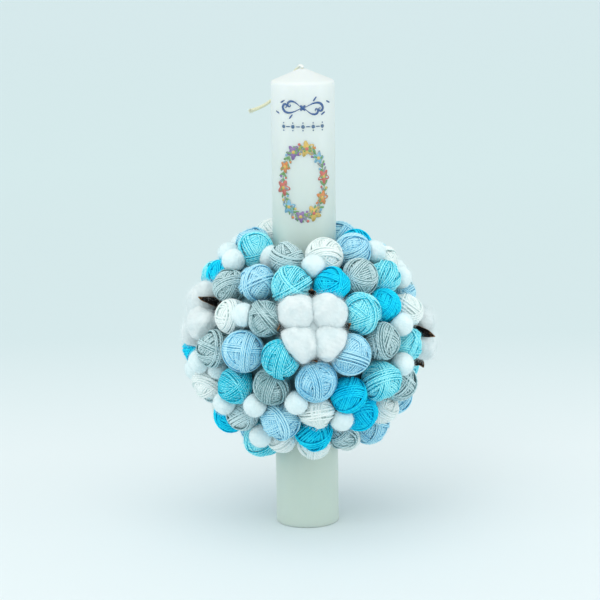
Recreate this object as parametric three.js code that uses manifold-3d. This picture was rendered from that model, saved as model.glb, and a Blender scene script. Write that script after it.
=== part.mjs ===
// A baptism candle: a tall white wax pillar that stands inside a ball of small wound yarn balls,
// felt pompoms and four cotton bolls, all glued on a bored foam core.
// Millimetres, +Z up, origin at the middle of the candle's foot. The front, with the front boll, faces -Y.
import * as THREE from "three";
import { mergeVertices } from "three/addons/utils/BufferGeometryUtils.js";
import Module from "manifold-3d";

// The wax pillar
const candleDiameter = 55;
const candleHeight = 400;
const coneHeight = 9.5;
const coneTipDiameter = 9;
const tipRounding = 1.2;
const footBevel = 1.2;
const shoulderRadius = 1.6;
const candleSides = 36;

// The braided wick, which runs down inside the wax and lies over the shoulder at the back left
const wickDiameter = 3.2;
const wickBoreClearance = 0.3;
const waxUnderWick = 12;
const wickSides = 8;
const wickSteps = 18;

// The foam core, bored to pass the pillar
const coreDiameter = 156;
const coreHeight = 165;
const coreBoreClearance = 0.3;
const coreSides = 30;
const coreRings = 12;

// The glued decorations
const seatGap = 0.1;
const neighbourGap = 0.3;
const yarnSmall = 29;
const yarnMedium = 32;
const yarnLarge = 35.5;
const pompomDiameter = 20;
const pompomRise = 21.5;
const seatFlat = 1.5;
const glueOverlap = 3;

// A cotton boll: four swelling lobes of lint over a dry husk of four pointed bracts
const lobePlaces = [41, 137, 234, 314];
const lobeOffset = 17.7;
const lobeLength = 38;
const lobeWidth = 33;
const lobeDepth = 31;
const lobeLift = 15.5;
const heartDiameter = 19;
const bractLength = 38;
const bractWidth = 7.5;
const bractThickness = 1.6;
const bractSteps = 5;
const bractSides = 4;
const bractShape = [
  [0.05, 0.07], [0.29, 0.08], [0.5, 0.15], [0.64, 0.29], [0.7, 0.45], [0.73, 0.59], [0.79, 0.68],
];
const calyxDiameter = 19;
const calyxThickness = 4;

const wax = 0xf4f5ef;
const wickCream = 0xe9dfb6;
const foam = 0x7fa9b3;
const cotton = 0xfbfbf8;
const huskBrown = 0x4a2f22;
const P = 0xa3c9ef;
const A = 0x6fd3e6;
const T = 0x0fb4e6;
const G = 0xa7aeb0;
const W = 0xf3f4f0;
const S = yarnSmall;
const M = yarnMedium;
const L = yarnLarge;

// Each line is one glued group, and one named piece. A ball is its colour, its size, and where it
// sits on the core: degrees round from the front, towards +X, and degrees up. "felt" is a pompom that
// rides in the hollow between balls, and "tuft" is one that sits down on the core.
// The first ball of a group is where it says, and each later one is drawn up to the nearest ball before it.
const felt = "felt";
const tuft = "tuft";
const groups = {
  yarn_gray_top: [[G, S, -19, 59], [tuft, -44, 62]],
  yarn_aqua_top: [[A, M, -68, 61], [felt, -66, 49]],
  yarn_white_top: [[W, M, 20, 59], [felt, 3, 45]],
  yarn_periwinkle_top: [[P, M, 60, 59]],
  yarn_gray_upper_left: [[G, S, -62, 36]],
  yarn_periwinkle_upper_left: [[P, M, -35, 40]],
  yarn_aqua_upper_front: [[A, L, -9, 39]],
  yarn_turquoise_upper_front: [[T, M, 18, 39]],
  yarn_gray_upper_right: [[G, M, 42, 42]],
  yarn_aqua_upper_right: [[A, M, 66, 38]],
  yarn_white_left: [[W, S, -46.5, 20], [felt, -37, 21]],
  yarn_gray_front: [[G, M, -23, 21]],
  yarn_aqua_right: [[A, L, 32, 22]],
  yarn_turquoise_right: [[T, S, 54, 24], [felt, 57, 13]],
  yarn_gray_left: [[G, M, -57, 1], [felt, -69, -8], [tuft, -60, -14]],
  yarn_periwinkle_left: [[P, L, -34, 3]],
  yarn_aqua_front: [[A, L, -12, 1]],
  yarn_periwinkle_right: [[P, L, 23, 2]],
  yarn_gray_right: [[G, M, 44, 6]],
  yarn_white_aqua_right: [[W, M, 74, 17], [A, M, 66, -2], [felt, 54, -9]],
  yarn_aqua_lower_left: [[A, M, -42, -17], [felt, -52, -27]],
  yarn_gray_lower_front: [[G, M, -19, -15], [felt, -30, -26]],
  yarn_periwinkle_lower_front: [[P, L, 5, -11]],
  yarn_aqua_lower_right: [[A, L, 44, -15]],
  yarn_turquoise_pair: [[T, M, 24, -21], [T, M, 38, -36]],
  yarn_white_lower_front: [[W, M, 6, -30], [felt, -7, -20], [felt, 18, -33]],
  yarn_periwinkle_bottom: [[P, L, -17, -36]],
  yarn_gray_bottom_left: [[G, S, -49, -38]],
  yarn_turquoise_bottom: [[T, M, 6, -50]],
  yarn_gray_bottom_right: [[G, S, 38, -57], [W, S, 62, -65]],
  yarn_right_lower: [[G, M, 67, -21], [W, S, 66, -41], [P, M, 84, -35], [tuft, 82, -17]],
  yarn_left_lower: [[W, M, -73, -21], [G, S, -92, -29], [felt, -84, -15]],
  yarn_left_middle: [[T, M, -90, -5], [P, L, -111, -3], [tuft, -100, -16]],
  yarn_left_bottom: [[T, M, -76, -44], [W, L, -103, -42]],
  yarn_foot_left: [
    [W, M, 9, -62.5], [W, S, -27, -58], [A, L, -64, -62], [P, L, -106, -63], [felt, -40, -45],
  ],
  yarn_left_top: [[P, M, -104, 60], [W, L, -146, 61]],
  yarn_left_upper: [
    [A, M, -104, 33], [T, S, -82, 39], [G, L, -129, 39], [felt, -92, 48], [felt, -118, 51],
  ],
  yarn_right_upper: [
    [W, M, 92, 44], [T, S, 98, 58], [felt, 80, 50], [felt, 83, 34], [P, S, 93, 22],
  ],
  yarn_back_top: [[P, M, 136, 61], [T, L, 174, 61], [felt, 156, 51]],
  yarn_back_right: [
    [A, L, 137, 18], [G, L, 118, 20], [W, M, 155, 25], [P, L, 124, 40], [T, L, 149, 41],
    [felt, 107, 33], [tuft, 159, 12],
  ],
  yarn_back_left: [
    [G, L, -156, 40], [A, L, 176, 39], [T, M, -150, 22], [P, L, -131, 19], [A, L, -112, 17],
    [felt, -141, 31],
  ],
  yarn_back_right_middle: [[T, L, 122, -1], [P, L, 143, 0], [W, L, 133, -18], [felt, 157, 5]],
  yarn_back_left_middle: [
    [W, L, -152, 2], [G, L, -132, 0], [A, L, -141, -18], [T, L, -121, -20], [felt, -122, 8],
  ],
  yarn_back_middle: [
    [P, L, 178, -14], [A, L, 158, -17], [G, L, -162, -20], [W, L, 178, -34], [felt, 163, -3],
    [tuft, 168, -25],
  ],
  yarn_right_bottom: [
    [G, M, 101, -41], [P, L, 80, -54], [T, L, 121, -37], [W, M, 105, -62], [A, L, 111, -19],
    [tuft, 95, -17],
  ],
  yarn_back_bottom: [
    [G, L, 149, -37], [A, L, 142, -59], [P, L, 180, -58], [felt, 146, -27], [felt, 162, -47],
  ],
  yarn_back_left_bottom: [
    [T, L, -157, -39], [P, L, -131, -38], [G, L, -142, -60], [felt, -145, -29], [felt, -119, -51],
  ],
};
// Each boll: where it sits, its turn about its own axis in degrees, its size against the front one, how
// far its stem lifts it off the core, how broad its bracts are, and how far their tips droop.
const bolls = {
  front: { place: [4, 17], turn: 0, size: 1, stem: 0, broad: 0.9, droop: 0 },
  left: { place: [-83, 15.5], turn: 25, size: 0.93, stem: 0, broad: 1.3, droop: -2 },
  right: { place: [97, 2], turn: -14, size: 0.9, stem: 8, broad: 1.4, droop: 8 },
  back: { place: [-173, 11], turn: 12, size: 1, stem: 3, broad: 1.2, droop: 3 },
};

// The free end of the wick, from the tip of the cone over the shoulder and out past the left side.
// Height is measured from the tip of the candle.
const wickRoute = [
  [0, 0, 0.6], [-0.2, 0.4, 1.6], [-1.7, 3.2, 2.1], [-4.2, 8.2, -0.7], [-5.5, 14.4, -3.1],
  [-7, 21, -5.6], [-9.6, 27.2, -8.8], [-13.6, 31.2, -14.4], [-18.8, 31.4, -21.4], [-25, 27.4, -27.8],
  [-31.2, 21.5, -32.2], [-38, 15, -35], [-44.6, 9, -36.8],
];

const core = new THREE.Vector3(0, 0, coreHeight);
const candleRadius = candleDiameter / 2;
const coreRadius = coreDiameter / 2;

const wasm = await Module();
wasm.setup();

// A geometry with only its positions, and its shared corners merged.
function welded(geometry) {
  const plain = geometry.clone();
  plain.deleteAttribute("normal");
  plain.deleteAttribute("uv");
  return mergeVertices(plain, 1e-4);
}

function solidFrom(geometry) {
  const g = welded(geometry);
  return new wasm.Manifold(
    new wasm.Mesh({
      numProp: 3,
      vertProperties: new Float32Array(g.attributes.position.array),
      triVerts: new Uint32Array(g.index.array),
    }),
  );
}

function geometryFrom(solid) {
  const mesh = solid.getMesh();
  return new THREE.BufferGeometry()
    .setAttribute("position", new THREE.BufferAttribute(new Float32Array(mesh.vertProperties), 3))
    .setIndex(new THREE.BufferAttribute(new Uint32Array(mesh.triVerts), 1));
}

function joined(geometries) {
  const solids = geometries.map(solidFrom);
  return geometryFrom(solids.slice(1).reduce((all, next) => all.add(next), solids[0]));
}

function named(name, geometry, color, roughness) {
  geometry.computeVertexNormals();
  const material = new THREE.MeshStandardMaterial({ color, roughness, metalness: 0 });
  const mesh = new THREE.Mesh(geometry, material);
  mesh.name = name;
  return mesh;
}

// A profile of [radius, height] points turned round +Z.
function turned(profile, sides) {
  const lathe = new THREE.LatheGeometry(profile.map(([r, z]) => new THREE.Vector2(r, z)), sides);
  return welded(lathe.rotateX(Math.PI / 2));
}

// The direction out of the core at a place on it.
function outward(azimuth, latitude) {
  const a = THREE.MathUtils.degToRad(azimuth);
  const b = THREE.MathUtils.degToRad(latitude);
  return new THREE.Vector3(Math.sin(a) * Math.cos(b), -Math.cos(a) * Math.cos(b), Math.sin(b));
}

function makeCandle() {
  const shoulder = candleHeight - coneHeight;
  const tip = coneTipDiameter / 2;
  const bore = wickDiameter / 2 + wickBoreClearance;
  const profile = [[0, 0], [candleRadius - footBevel, 0], [candleRadius, footBevel]];
  for (let i = 0; i <= 2; i++) {
    const a = (i / 2) * (Math.PI / 2 - Math.atan2(coneHeight, candleRadius - tip));
    profile.push([
      candleRadius - shoulderRadius * (1 - Math.cos(a)),
      shoulder - shoulderRadius * (1 - Math.sin(a)),
    ]);
  }
  profile.push([tip, candleHeight - tipRounding], [tip - tipRounding, candleHeight], [bore, candleHeight]);
  profile.push([bore, waxUnderWick], [0, waxUnderWick]);
  return named("candle_body", turned(profile, candleSides), wax, 0.45);
}

function makeWickInWax() {
  const length = candleHeight - waxUnderWick - seatGap;
  const rod = new THREE.CylinderGeometry(wickDiameter / 2, wickDiameter / 2, length, wickSides);
  rod.rotateX(Math.PI / 2);
  rod.translate(0, 0, candleHeight - length / 2);
  return named("wick_in_wax", rod, wickCream, 0.9);
}

function makeWickEnd() {
  const lift = candleHeight + seatGap;
  const route = new THREE.CatmullRomCurve3(
    wickRoute.map(([x, y, z]) => new THREE.Vector3(x, y, lift + z)),
    false,
    "centripetal",
  );
  const section = new THREE.Shape();
  section.absarc(0, 0, wickDiameter / 2, 0, Math.PI * 2);
  const tube = new THREE.ExtrudeGeometry(section, {
    extrudePath: route,
    steps: wickSteps,
    curveSegments: wickSides / 2,
    bevelEnabled: false,
  });
  return named("wick_free_end", tube, wickCream, 0.9);
}

function makeCore() {
  const bore = candleRadius + coreBoreClearance;
  const edge = Math.acos(bore / coreRadius);
  const profile = [[bore, coreHeight - coreRadius * Math.sin(edge)]];
  for (let i = 1; i <= coreRings; i++) {
    const a = -edge + (2 * edge * i) / coreRings;
    profile.push([coreRadius * Math.cos(a), coreHeight + coreRadius * Math.sin(a)]);
  }
  profile.push(profile[0]);
  return named("foam_core", turned(profile, coreSides), foam, 0.8);
}

// A soft lump is an ellipsoid round a centre: axes holds its three directions and reach its three radii.
function lump(group, center, out, reach, color) {
  const right = new THREE.Vector3(0, 0, 1).cross(out).normalize();
  return { group, center, color, reach, axes: [right, new THREE.Vector3().crossVectors(out, right), out] };
}

function radiusAlong(l, direction) {
  const shares = l.axes.map((axis, i) => direction.dot(axis) / l.reach[i]);
  return 1 / Math.hypot(...shares);
}

// The angle at the core's centre between two balls whose centres are a given distance apart.
function angleBetween(r1, r2, apart) {
  return Math.acos((r1 * r1 + r2 * r2 - apart * apart) / (2 * r1 * r2));
}

// The balls of one glued group: each after the first is drawn along its great circle to the nearest
// before it.
function ballsOf(group, rows) {
  const made = [];
  for (const row of rows) {
    const soft = row[0] === felt || row[0] === tuft;
    const [azimuth, latitude] = row.slice(-2);
    const radius = (soft ? pompomDiameter : row[1]) / 2;
    const distance = row[0] === felt ? coreRadius + pompomRise : coreRadius + seatGap + radius - seatFlat;
    let out = outward(azimuth, latitude);
    const near = [...made].sort((a, b) => out.angleTo(a.out) - out.angleTo(b.out))[0];
    if (near) {
      const angle = angleBetween(near.distance, distance, near.radius + radius - glueOverlap);
      const across = new THREE.Vector3().crossVectors(near.out, out).normalize();
      out = near.out.clone().applyAxisAngle(across, angle);
    }
    const center = out.clone().multiplyScalar(distance).add(core);
    const ball = lump(group, center, out, [radius, radius, radius], soft ? cotton : row[0]);
    made.push({ ...ball, out, distance, radius });
  }
  return made;
}

// A boll's own frame: x and y across the core's surface, z out of it, from the top of the stem.
function bollFrame(boll) {
  const out = outward(...boll.place);
  const right = new THREE.Vector3(0, 0, 1).cross(out).normalize();
  const up = new THREE.Vector3().crossVectors(out, right);
  const origin = out.clone().multiplyScalar(coreRadius + seatGap + boll.stem).add(core);
  const size = new THREE.Vector3().setScalar(boll.size);
  return new THREE.Matrix4().makeBasis(right, up, out).setPosition(origin).scale(size);
}

function lobesOf(name, boll) {
  const frame = bollFrame(boll);
  const turn = new THREE.Matrix4().extractRotation(frame);
  const out = new THREE.Vector3(0, 0, 1).applyMatrix4(turn);
  const middle = new THREE.Vector3(0, 0, lobeLift).applyMatrix4(frame);
  const heart = lump(name, middle, out, Array(3).fill((boll.size * heartDiameter) / 2), cotton);
  const lobes = lobePlaces.map((degrees) => {
    const a = THREE.MathUtils.degToRad(degrees + boll.turn);
    const radial = new THREE.Vector3(Math.cos(a), Math.sin(a), 0);
    const side = new THREE.Vector3(-Math.sin(a), Math.cos(a), 0);
    const center = radial.clone().multiplyScalar(lobeOffset).setZ(lobeLift).applyMatrix4(frame);
    const axes = [radial, side, new THREE.Vector3(0, 0, 1)].map((v) => v.applyMatrix4(turn));
    const reach = [lobeLength, lobeWidth, lobeDepth].map((length) => (boll.size * length) / 2);
    return { group: name, center, axes, reach, color: cotton, out: center.clone().sub(core).normalize() };
  });
  return [...lobes, { ...heart, out }];
}

// The middle line of one bract, in its boll's frame: out along the seam, then up beside the lint,
// with a curled tip.
function bractLine(boll, degrees) {
  const a = THREE.MathUtils.degToRad(degrees + boll.turn);
  return new THREE.CatmullRomCurve3(
    bractShape.map(([across, up], i) => {
      const reach = across * bractLength;
      const sink = (boll.droop / boll.size) * (i / (bractShape.length - 1)) ** 2;
      return new THREE.Vector3(reach * Math.cos(a), reach * Math.sin(a) - sink, up * bractLength);
    }),
  );
}

// How broad a bract is along its length, as a share of its width: full at the middle, pointed at the tip.
function bractBreadth(t) {
  return t < 0.5 ? 0.35 + 0.65 * Math.sin(Math.PI * t) : 1 - 0.93 * (2 * t - 1) ** 1.8;
}

function makeBract(boll, degrees) {
  const line = bractLine(boll, degrees);
  const a = THREE.MathUtils.degToRad(degrees + boll.turn);
  const side = new THREE.Vector3(-Math.sin(a), Math.cos(a), 0);
  const rings = [];
  for (let i = 0; i <= bractSteps; i++) {
    const t = i / bractSteps;
    const point = line.getPointAt(t);
    const thick = new THREE.Vector3().crossVectors(line.getTangentAt(t), side).normalize();
    const half = (bractWidth / 2) * boll.broad * bractBreadth(t);
    const depth = (bractThickness / 2) * (1.2 - 0.5 * t);
    rings.push(
      Array.from({ length: bractSides }, (_, k) => {
        const b = (2 * Math.PI * k) / bractSides;
        const edge = point.clone().addScaledVector(side, half * Math.cos(b));
        return edge.addScaledVector(thick, depth * Math.sin(b));
      }),
    );
  }
  return skinned(rings);
}

// A closed skin over rings of equal counts, with a fan over each end.
function skinned(rings) {
  const count = rings[0].length;
  const points = rings.flat();
  const index = [];
  for (let i = 0; i + 1 < rings.length; i++)
    for (let k = 0; k < count; k++) {
      const [a, b] = [i * count + k, i * count + ((k + 1) % count)];
      index.push(a, b, b + count, a, b + count, a + count);
    }
  const last = (rings.length - 1) * count;
  for (let k = 1; k + 1 < count; k++) index.push(0, k + 1, k, last, last + k, last + k + 1);
  const geometry = new THREE.BufferGeometry().setFromPoints(points).setIndex(index);
  const volume = solidFrom(geometry).volume();
  if (volume < 0) geometry.setIndex(index.map((_, i) => index[i - (i % 3) + [0, 2, 1][i % 3]]));
  return geometry;
}

function makeHusk(name, boll) {
  const foot = boll.stem / boll.size;
  const height = calyxThickness + foot;
  const calyx = new THREE.CylinderGeometry(calyxDiameter * 0.36, calyxDiameter / 2, height, 10);
  calyx.rotateX(Math.PI / 2);
  calyx.translate(0, 0, height / 2 - foot);
  const bracts = [0, 90, 180, 270].map((degrees) => makeBract(boll, degrees));
  const husk = joined([calyx, ...bracts]);
  husk.applyMatrix4(bollFrame(boll));
  return named(name, husk, huskBrown, 0.8);
}

// Round guards along the husk's bracts and calyx, which the soft pieces are pressed clear of.
function guardsOf(boll) {
  const frame = bollFrame(boll);
  const guards = [];
  for (const degrees of [0, 90, 180, 270]) {
    const line = bractLine(boll, degrees);
    const a = THREE.MathUtils.degToRad(degrees + boll.turn);
    const side = new THREE.Vector3(-Math.sin(a), Math.cos(a), 0);
    for (let i = 0; i <= bractSteps * 2; i++) {
      const t = i / (bractSteps * 2);
      const half = (bractWidth / 2) * boll.broad * bractBreadth(t);
      for (const share of [-0.6, 0, 0.6]) {
        const center = line.getPointAt(t).addScaledVector(side, share * half).applyMatrix4(frame);
        guards.push({ center, radius: boll.size * (0.42 * half + bractThickness / 2) });
      }
    }
  }
  return guards;
}

// The flat limits on a lump: half-spaces given by a direction and how far from the lump's centre they lie.
function limitsOn(l, lumps, guards) {
  const limits = [];
  const away = (point) => point.clone().sub(l.center);
  for (const other of lumps) {
    if (other.group === l.group) continue;
    const line = away(other.center);
    const apart = line.length();
    const direction = line.normalize();
    const mine = radiusAlong(l, direction);
    const theirs = radiusAlong(other, direction);
    if (apart >= mine + theirs + neighbourGap) continue;
    const reach = (apart * apart + mine * mine - theirs * theirs) / (2 * apart) - neighbourGap / 2;
    limits.push({ direction, reach });
  }
  for (const guard of guards) {
    const line = away(guard.center);
    const reach = line.length() - guard.radius - neighbourGap;
    limits.push({ direction: line.normalize(), reach });
  }
  const fromCore = l.center.distanceTo(core);
  const toCore = away(core).normalize();
  limits.push({ direction: toCore, reach: fromCore - coreRadius - seatGap });
  const toCandle = new THREE.Vector3(-l.center.x, -l.center.y, 0);
  const clear = toCandle.length() - candleRadius - seatGap;
  limits.push({ direction: toCandle.normalize(), reach: clear });
  return limits;
}

// A lump's skin: a ball of triangles whose corners stop at the nearest limit. A pompom has fewer
// faces than a yarn ball.
function pressed(l, limits) {
  const small = l.reach[0] <= pompomDiameter / 2;
  const geometry = small ? new THREE.OctahedronGeometry(1, 1) : new THREE.IcosahedronGeometry(1, 1);
  const corner = new THREE.Vector3().fromBufferAttribute(geometry.attributes.position, 0).normalize();
  const turn = new THREE.Quaternion().setFromUnitVectors(corner, l.out.clone().negate());
  const position = geometry.attributes.position;
  for (let i = 0; i < position.count; i++) {
    const direction = new THREE.Vector3().fromBufferAttribute(position, i).normalize().applyQuaternion(turn);
    let r = radiusAlong(l, direction);
    for (const limit of limits) {
      const share = direction.dot(limit.direction);
      if (share > 1e-6) r = Math.min(r, limit.reach / share);
    }
    position.setXYZ(i, ...direction.multiplyScalar(r).add(l.center).toArray());
  }
  return geometry;
}

// Each face takes the colour of the ball whose skin is nearest.
function painted(mesh, balls) {
  const geometry = mesh.geometry.toNonIndexed();
  const position = geometry.attributes.position;
  const colors = new Float32Array(position.count * 3);
  const color = new THREE.Color();
  for (let i = 0; i < position.count; i += 3) {
    const middle = new THREE.Vector3();
    for (let k = 0; k < 3; k++) middle.add(new THREE.Vector3().fromBufferAttribute(position, i + k));
    middle.divideScalar(3);
    const off = (ball) => Math.abs(middle.distanceTo(ball.center) - ball.radius);
    color.setHex([...balls].sort((a, b) => off(a) - off(b))[0].color);
    for (let k = 0; k < 3; k++) color.toArray(colors, (i + k) * 3);
  }
  geometry.setAttribute("color", new THREE.BufferAttribute(colors, 3));
  mesh.geometry = geometry;
  mesh.material.vertexColors = true;
  mesh.material.color.set(0xffffff);
}

const balls = Object.entries(groups).map(([name, rows]) => ballsOf(name, rows));
const lobes = Object.entries(bolls).map(([side, boll]) => lobesOf(`cotton_lint_${side}`, boll));
const lumps = [...balls, ...lobes].flat();
const guards = Object.values(bolls).flatMap(guardsOf);

const candle = new THREE.Group();
candle.add(makeCandle(), makeWickInWax(), makeWickEnd(), makeCore());
for (const [side, boll] of Object.entries(bolls)) candle.add(makeHusk(`cotton_husk_${side}`, boll));
for (const members of [...balls, ...lobes]) {
  const skins = members.map((l) => pressed(l, limitsOn(l, lumps, guards)));
  const mesh = named(members[0].group, joined(skins), members[0].color, 0.95);
  if (members.some((l) => l.color !== members[0].color)) painted(mesh, members);
  candle.add(mesh);
}

export default candle;
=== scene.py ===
# The looks of a baptism candle: a white wax pillar in a ball of wound yarn balls, felt pompoms and cotton
# bolls. Metres, +Z up, origin at the middle of the candle's foot. Lengths in the tables are millimetres and
# angles are degrees, except where a comment says otherwise.
import functools
import math
from collections import namedtuple

import bmesh
import bpy
import numpy as np
from mathutils import Matrix, Vector


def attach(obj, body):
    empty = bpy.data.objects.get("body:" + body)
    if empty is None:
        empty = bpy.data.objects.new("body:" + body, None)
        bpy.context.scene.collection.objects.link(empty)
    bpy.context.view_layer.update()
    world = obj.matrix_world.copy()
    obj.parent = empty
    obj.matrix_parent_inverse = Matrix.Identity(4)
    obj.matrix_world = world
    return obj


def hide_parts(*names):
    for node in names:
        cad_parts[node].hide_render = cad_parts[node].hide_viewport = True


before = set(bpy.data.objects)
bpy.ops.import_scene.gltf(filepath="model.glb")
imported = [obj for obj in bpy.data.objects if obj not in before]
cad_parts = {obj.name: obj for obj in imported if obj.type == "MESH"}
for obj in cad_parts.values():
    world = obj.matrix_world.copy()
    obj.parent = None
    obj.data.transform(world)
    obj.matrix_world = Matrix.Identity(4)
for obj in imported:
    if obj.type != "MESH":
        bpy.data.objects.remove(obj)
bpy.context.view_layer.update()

MM = 0.001
TURN = 2 * math.pi

# The camera, at the photographer's place: in front, a little above the ball, looking slightly down
CAMERA_PLACE = (0.0, -1.9693, 0.5751)
CAMERA_DOWN = 10.83
CAMERA_ROLL = -0.696
CAMERA_LENS = 138.0
CAMERA_SHIFT = -0.00855

# Sizes of the solids
CANDLE_RADIUS = 27.5
CANDLE_HEIGHT = 400.0
CONE_HEIGHT = 9.5
CONE_TIP_RADIUS = 4.5
CORE_RADIUS = 78.0
CORE_HEIGHT = 165.0
SEAT_GAP = 0.1
SEAT_FLAT = 1.5
GLUE_OVERLAP = 3.0
POMPOM_RADIUS = 10.0
POMPOM_RISE = 21.5
LOBE_PLACES = (41, 137, 234, 314)
LOBE_OFFSET = 17.7
LOBE_REACH = (19.0, 16.5, 15.5)
LOBE_LIFT = 15.5
BRACT_PLACES = (0, 90, 180, 270)
BRACT_LENGTH = 38.0
BRACT_WIDTH = 7.5
BRACT_SHAPE = [
    (0.05, 0.07), (0.29, 0.08), (0.5, 0.15), (0.64, 0.29), (0.7, 0.45), (0.73, 0.59), (0.79, 0.68),
]

# Yarn: a strand's radius, the layers of windings under and on top, and how far each sinks under the next
STRAND_RADIUS = 0.9
BED_LAYERS = 3
TOP_LAYERS = 5
LAYER_DROP = 0.42
STEPS_PER_TURN = 28
STRAND_SIDES = 5

# The kinds of ball, the three sizes of yarn ball, and the balls of each solid, whose full name starts with
# yarn_. A yarn ball has a colour, size, azimuth and latitude on the core, and a pompom all but the size.
S, M, L = 29.0, 32.0, 35.5
P, A, T, G, W = "periwinkle", "aqua", "turquoise", "gray", "white"
FELT, TUFT = "felt", "tuft"
GROUPS = {
    "gray_top": [[G, S, -19, 59], [TUFT, -44, 62]],
    "aqua_top": [[A, M, -68, 61], [FELT, -66, 49]],
    "white_top": [[W, M, 20, 59], [FELT, 3, 45]],
    "periwinkle_top": [[P, M, 60, 59]],
    "gray_upper_left": [[G, S, -62, 36]],
    "periwinkle_upper_left": [[P, M, -35, 40]],
    "aqua_upper_front": [[A, L, -9, 39]],
    "turquoise_upper_front": [[T, M, 18, 39]],
    "gray_upper_right": [[G, M, 42, 42]],
    "aqua_upper_right": [[A, M, 66, 38]],
    "white_left": [[W, S, -46.5, 20], [FELT, -37, 21]],
    "gray_front": [[G, M, -23, 21]],
    "aqua_right": [[A, L, 32, 22]],
    "turquoise_right": [[T, S, 54, 24], [FELT, 57, 13]],
    "gray_left": [[G, M, -57, 1], [FELT, -69, -8], [TUFT, -60, -14]],
    "periwinkle_left": [[P, L, -34, 3]],
    "aqua_front": [[A, L, -12, 1]],
    "periwinkle_right": [[P, L, 23, 2]],
    "gray_right": [[G, M, 44, 6]],
    "white_aqua_right": [[W, M, 74, 17], [A, M, 66, -2], [FELT, 54, -9]],
    "aqua_lower_left": [[A, M, -42, -17], [FELT, -52, -27]],
    "gray_lower_front": [[G, M, -19, -15], [FELT, -30, -26]],
    "periwinkle_lower_front": [[P, L, 5, -11]],
    "aqua_lower_right": [[A, L, 44, -15]],
    "turquoise_pair": [[T, M, 24, -21], [T, M, 38, -36]],
    "white_lower_front": [[W, M, 6, -30], [FELT, -7, -20], [FELT, 18, -33]],
    "periwinkle_bottom": [[P, L, -17, -36]],
    "gray_bottom_left": [[G, S, -49, -38]],
    "turquoise_bottom": [[T, M, 6, -50]],
    "gray_bottom_right": [[G, S, 38, -57], [W, S, 62, -65]],
    "right_lower": [[G, M, 67, -21], [W, S, 66, -41], [P, M, 84, -35], [TUFT, 82, -17]],
    "left_lower": [[W, M, -73, -21], [G, S, -92, -29], [FELT, -84, -15]],
    "left_middle": [[T, M, -90, -5], [P, L, -111, -3], [TUFT, -100, -16]],
    "left_bottom": [[T, M, -76, -44], [W, L, -103, -42]],
    "foot_left": [
        [W, M, 9, -62.5], [W, S, -27, -58], [A, L, -64, -62], [P, L, -106, -63], [FELT, -40, -45],
    ],
    "left_top": [[P, M, -104, 60], [W, L, -146, 61]],
    "left_upper": [
        [A, M, -104, 33], [T, S, -82, 39], [G, L, -129, 39], [FELT, -92, 48], [FELT, -118, 51],
    ],
    "right_upper": [[W, M, 92, 44], [T, S, 98, 58], [FELT, 80, 50], [FELT, 83, 34], [P, S, 93, 22]],
    "back_top": [[P, M, 136, 61], [T, L, 174, 61], [FELT, 156, 51]],
    "back_right": [
        [A, L, 137, 18], [G, L, 118, 20], [W, M, 155, 25], [P, L, 124, 40], [T, L, 149, 41],
        [FELT, 107, 33], [TUFT, 159, 12],
    ],
    "back_left": [
        [G, L, -156, 40], [A, L, 176, 39], [T, M, -150, 22], [P, L, -131, 19], [A, L, -112, 17],
        [FELT, -141, 31],
    ],
    "back_right_middle": [[T, L, 122, -1], [P, L, 143, 0], [W, L, 133, -18], [FELT, 157, 5]],
    "back_left_middle": [
        [W, L, -152, 2], [G, L, -132, 0], [A, L, -141, -18], [T, L, -121, -20], [FELT, -122, 8],
    ],
    "back_middle": [
        [P, L, 178, -14], [A, L, 158, -17], [G, L, -162, -20], [W, L, 178, -34], [FELT, 163, -3],
        [TUFT, 168, -25],
    ],
    "right_bottom": [
        [G, M, 101, -41], [P, L, 80, -54], [T, L, 121, -37], [W, M, 105, -62], [A, L, 111, -19],
        [TUFT, 95, -17],
    ],
    "back_bottom": [
        [G, L, 149, -37], [A, L, 142, -59], [P, L, 180, -58], [FELT, 146, -27], [FELT, 162, -47],
    ],
    "back_left_bottom": [
        [T, L, -157, -39], [P, L, -131, -38], [G, L, -142, -60], [FELT, -145, -29], [FELT, -119, -51],
    ],
}
Boll = namedtuple("Boll", "place turn size stem broad droop")
# Each boll's place on the core, turn about its own axis, size, stem, breadth of its bracts, and how far their
# tips droop
BOLLS = {
    "front": Boll((4, 17), 0, 1.0, 0, 0.9, 0),
    "left": Boll((-83, 15.5), 25, 0.93, 0, 1.3, -2),
    "right": Boll((97, 2), -14, 0.9, 8, 1.4, 8),
    "back": Boll((-173, 11), 12, 1.0, 3, 1.2, 3),
}
BractForm = namedtuple("BractForm", "turn spread rise breadth twist droop", defaults=(0, 1, 1, 1, 0, 0))
# How some bracts differ from their solids. The twist is in radians.
BRACT_FORMS = {
    ("front", 0): BractForm(spread=1.08, rise=1.02),
    ("front", 90): BractForm(spread=1.08, rise=1.03, breadth=1.1, twist=0.5),
    ("front", 180): BractForm(spread=1.04),
    ("front", 270): BractForm(spread=1.05, rise=1.03),
    ("left", 0): BractForm(turn=15, breadth=0.95, droop=4),
    ("left", 90): BractForm(spread=0.8, rise=0.8),
    ("left", 270): BractForm(spread=0.8, rise=0.8),
    ("right", 180): BractForm(spread=1.06, breadth=1.12),
    ("right", 270): BractForm(spread=0.96, rise=0.72, breadth=1.3, twist=1.2),
}
# How each lobe of lint differs from its solid: its reach along its spoke, across and outward, and its shift
LOBE_FORMS = {
    "front": [(0.93, 1.25, 1.0, -1), (1.0, 1.12, 1.03, 0), (0.97, 1.32, 0.98, -0.5), (0.96, 1.16, 1.0, 0)],
    "right": [(0.85, 1.0, 1.0, -4), (0.76, 1.0, 0.95, -5.5), (0.92, 1.05, 1.0, -1), (0.95, 1.08, 1.0, -1)],
}
OTHER_LOBES = [(0.97, 1.1, 1.0, 0), (1.0, 1.08, 1.02, 0), (0.96, 1.1, 0.98, 0), (0.98, 1.1, 1.0, 0)]
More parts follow.
